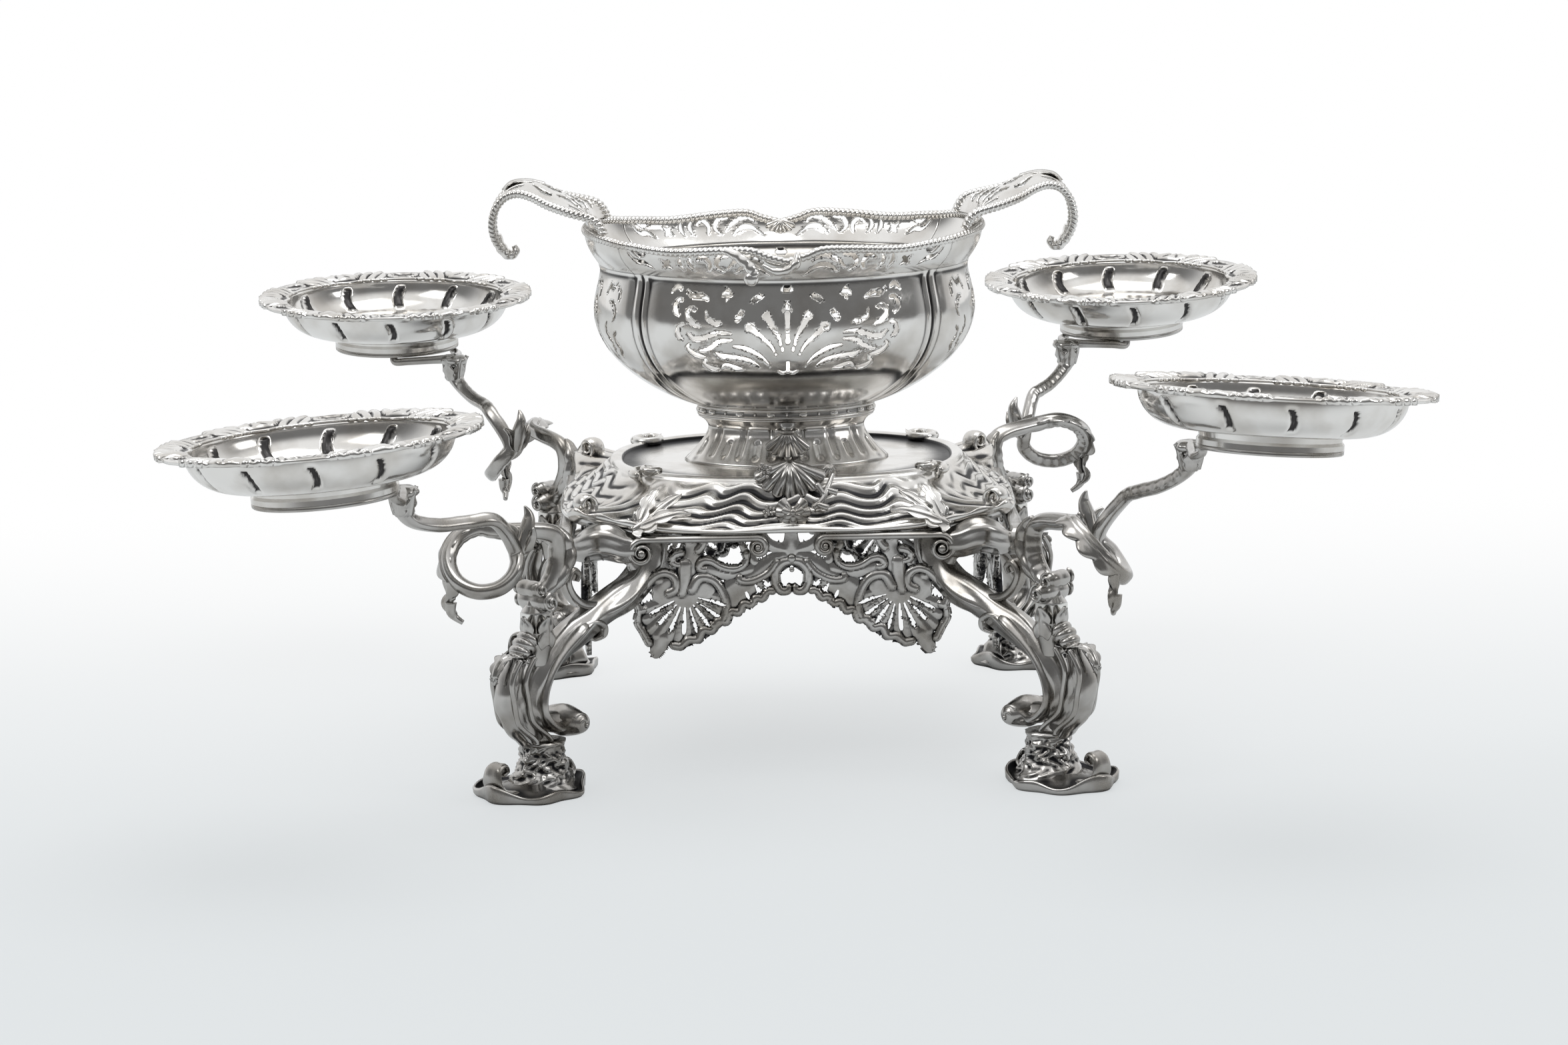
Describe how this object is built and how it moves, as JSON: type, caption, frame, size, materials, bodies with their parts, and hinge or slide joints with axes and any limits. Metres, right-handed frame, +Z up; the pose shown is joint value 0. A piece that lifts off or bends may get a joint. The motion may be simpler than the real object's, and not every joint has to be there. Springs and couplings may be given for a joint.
{
  "type": "epergne",
  "caption": "Ornate silver table epergne: scroll-legged stand with a lift-out oval basket and lift-off looped branches that each hold a round dish.",
  "frame": {"origin": "on the table under the middle of the stand", "axes": "+Z up, +X along the basket's long way to its right handle, -Y towards the viewer"},
  "size_m": [0.64, 0.6622, 0.3102],
  "materials": {
    "silver_cast": "cast silver, polished on the high places and dark in the hollows",
    "silver_plate": "worked silver sheet, polished",
    "silver_bright": "bright polished silver"
  },
  "bodies": {
    "stand": {"platform": "silver_plate", "stem": "silver_plate", "collar": "silver_plate", "socket_front_left": "silver_plate", "socket_front_right": "silver_plate", "socket_rear_right": "silver_plate", "socket_rear_left": "silver_plate", "shell_front": "silver_cast", "shell_rear": "silver_cast", "foot_front_left": "silver_cast", "foot_front_right": "silver_cast", "foot_rear_right": "silver_cast", "foot_rear_left": "silver_cast", "leg_front_left": "silver_cast", "leg_front_right": "silver_cast", "leg_rear_right": "silver_cast", "leg_rear_left": "silver_cast", "apron_front": "silver_cast", "apron_right": "silver_cast", "apron_rear": "silver_cast", "apron_left": "silver_cast", "edge_scroll_front": "silver_cast", "edge_scroll_right": "silver_cast", "edge_scroll_rear": "silver_cast", "edge_scroll_left": "silver_cast"},
    "basket": {"basket_body": "silver_bright", "basket_rim": "silver_bright", "basket_foot": "silver_bright", "handle_right": "silver_bright", "handle_left": "silver_bright"},
    "arm_front_left": {"branch_front_left": "silver_cast", "fork_front_left": "silver_cast"},
    "dish_set_front_left": {"dish_front_left": "silver_bright", "dish_border_front_left": "silver_bright", "dish_foot_front_left": "silver_bright"},
    "arm_front_right": {"branch_front_right": "silver_cast", "fork_front_right": "silver_cast"},
    "dish_set_front_right": {"dish_front_right": "silver_bright", "dish_border_front_right": "silver_bright", "dish_foot_front_right": "silver_bright"},
    "arm_rear_right": {"branch_rear_right": "silver_cast", "fork_rear_right": "silver_cast"},
    "dish_set_rear_right": {"dish_rear_right": "silver_bright", "dish_border_rear_right": "silver_bright", "dish_foot_rear_right": "silver_bright"},
    "arm_rear_left": {"branch_rear_left": "silver_cast", "fork_rear_left": "silver_cast"},
    "dish_set_rear_left": {"dish_rear_left": "silver_bright", "dish_border_rear_left": "silver_bright", "dish_foot_rear_left": "silver_bright"}
  },
  "joints": [
    {"name": "basket_lift", "type": "slide", "parent": "stand", "child": "basket", "axis": [0, 0, 1], "range_m": [0, 0.06]},
    {"name": "arm_lift_front_left", "type": "slide", "parent": "stand", "child": "arm_front_left", "axis": [0, 0, 1], "range_m": [0, 0.04]},
    {"name": "dish_lift_front_left", "type": "slide", "parent": "arm_front_left", "child": "dish_set_front_left", "axis": [-0.0749, 0.0332, 0.9966], "range_m": [0, 0.04]},
    {"name": "arm_lift_front_right", "type": "slide", "parent": "stand", "child": "arm_front_right", "axis": [0, 0, 1], "range_m": [0, 0.04]},
    {"name": "dish_lift_front_right", "type": "slide", "parent": "arm_front_right", "child": "dish_set_front_right", "axis": [0.066, 0.0872, 0.994], "range_m": [0, 0.04]},
    {"name": "arm_lift_rear_right", "type": "slide", "parent": "stand", "child": "arm_rear_right", "axis": [0, 0, 1], "range_m": [0, 0.04]},
    {"name": "dish_lift_rear_right", "type": "slide", "parent": "arm_rear_right", "child": "dish_set_rear_right", "axis": [-0.0157, -0.0436, 0.9989], "range_m": [0, 0.04]},
    {"name": "arm_lift_rear_left", "type": "slide", "parent": "stand", "child": "arm_rear_left", "axis": [0, 0, 1], "range_m": [0, 0.04]},
    {"name": "dish_lift_rear_left", "type": "slide", "parent": "arm_rear_left", "child": "dish_set_rear_left", "axis": [-0.0035, -0.0332, 0.9994], "range_m": [0, 0.04]}
  ]
}
